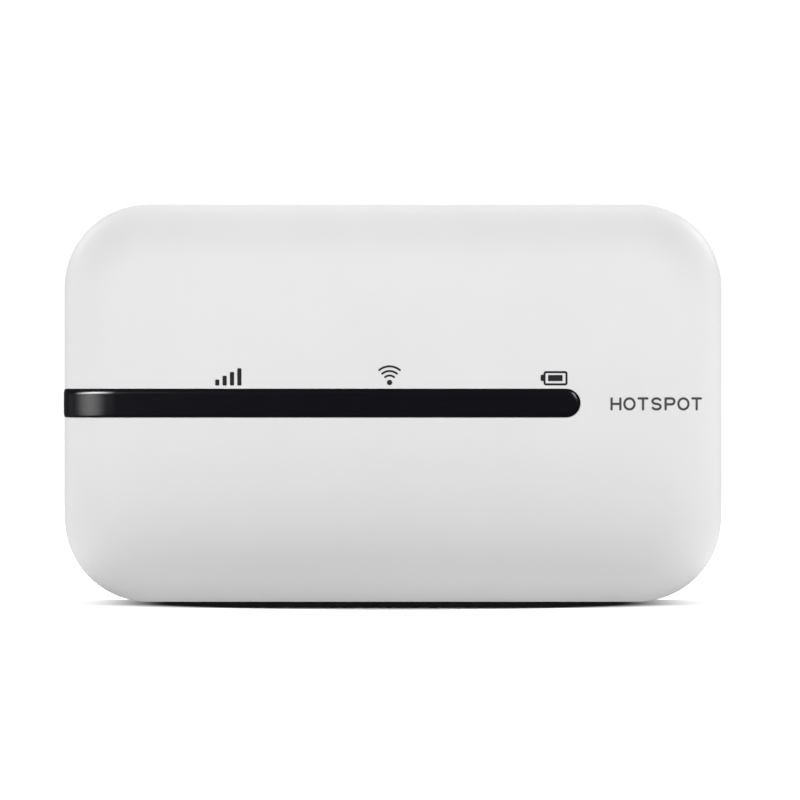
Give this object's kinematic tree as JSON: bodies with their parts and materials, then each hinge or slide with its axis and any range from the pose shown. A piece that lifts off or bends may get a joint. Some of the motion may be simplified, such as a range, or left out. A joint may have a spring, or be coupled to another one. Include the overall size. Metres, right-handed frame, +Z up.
{
  "type": "mobile hotspot",
  "caption": "Pocket mobile hotspot with a rounded white case, black indicator strip wrapping one side, side power button, lift-off back cover and removable battery.",
  "frame": {"origin": "middle of the device on the surface it stands on, under its long lower edge; mid-depth of the case", "axes": "+X to the right as seen from the front, -Y out of the front face, +Z up"},
  "size_m": [0.0983, 0.0143, 0.0593],
  "materials": {
    "white_plastic": "fine matt texture",
    "black_gloss": "gloss, smoked",
    "adhesive": "thin double-sided tape",
    "black_plastic": "moulded, satin",
    "clear_plastic": "clear, polished",
    "led_epoxy": "translucent",
    "board_laminate": "solder mask",
    "chip_epoxy": "moulded epoxy",
    "capacitor_ceramic": "sintered",
    "ferrite": "moulded ferrite",
    "sheet_steel": "tinned sheet",
    "gold_contact": "gold plated",
    "copper_film": "etched copper film",
    "screw_steel": "black zinc",
    "graphite": "graphite film",
    "thermal_gel": "soft pad",
    "label_paper": "blank matt label",
    "foam": "open-cell foam",
    "battery_wrap": "satin wrap"
  },
  "bodies": {
    "device": {"front_cover": "white_plastic", "indicator_strip": "black_gloss", "strip_adhesive": "adhesive", "light_baffle": "black_plastic", "light_guides": "clear_plastic", "status_leds": "led_epoxy", "main_board": "board_laminate", "baseband_processor": "chip_epoxy", "memory_chip": "chip_epoxy", "power_manager": "chip_epoxy", "rf_transceiver": "chip_epoxy", "wifi_chip": "chip_epoxy", "power_amplifiers": "chip_epoxy", "reference_crystals": "sheet_steel", "power_inductors": "ferrite", "ceramic_capacitors": "capacitor_ceramic", "baseband_shield": "sheet_steel", "radio_shield": "sheet_steel", "wifi_shield": "sheet_steel", "thermal_pad": "thermal_gel", "heat_spreader": "graphite", "usb_shell": "sheet_steel", "usb_tongue": "black_plastic", "usb_contacts": "gold_contact", "sim_base": "black_plastic", "sim_contacts": "gold_contact", "sim_cover": "sheet_steel", "battery_connector": "black_plastic", "battery_springs": "gold_contact", "power_switch": "black_plastic", "reset_switch": "black_plastic", "mid_frame": "black_plastic", "cellular_antenna": "copper_film", "diversity_antenna": "copper_film", "wifi_antennas": "copper_film", "antenna_springs": "gold_contact", "coax_ports": "gold_contact", "frame_screws": "screw_steel", "bay_label": "label_paper", "moisture_dot": "label_paper"},
    "power_button": {"power_button": "black_gloss", "power_plunger": "black_plastic"},
    "reset_button": {"reset_plunger": "black_plastic"},
    "battery": {"battery_cell": "battery_wrap", "battery_cap": "black_plastic", "battery_terminals": "gold_contact", "battery_label": "label_paper"},
    "back_cover": {"back_cover": "white_plastic", "cover_foam": "foam"}
  },
  "joints": [
    {"name": "power_press", "type": "slide", "parent": "device", "child": "power_button", "axis": [1, 0, 0], "range_m": [0, 0.0003], "stiffness_N_per_m": 2000, "springref_m": -0.0002},
    {"name": "reset_press", "type": "slide", "parent": "device", "child": "reset_button", "axis": [-1, 0, 0], "range_m": [0, 0.00025], "stiffness_N_per_m": 2000, "springref_m": -0.0002},
    {"name": "cover_lift", "type": "slide", "parent": "device", "child": "back_cover", "axis": [0, 1, 0], "range_m": [0, 0.03]},
    {"name": "battery_lift", "type": "slide", "parent": "device", "child": "battery", "axis": [0, 1, 0], "range_m": [0, 0.015]}
  ],
  "couplings": [
    {"joint": "battery_lift", "follows": "cover_lift", "ratio": 0.5}
  ]
}
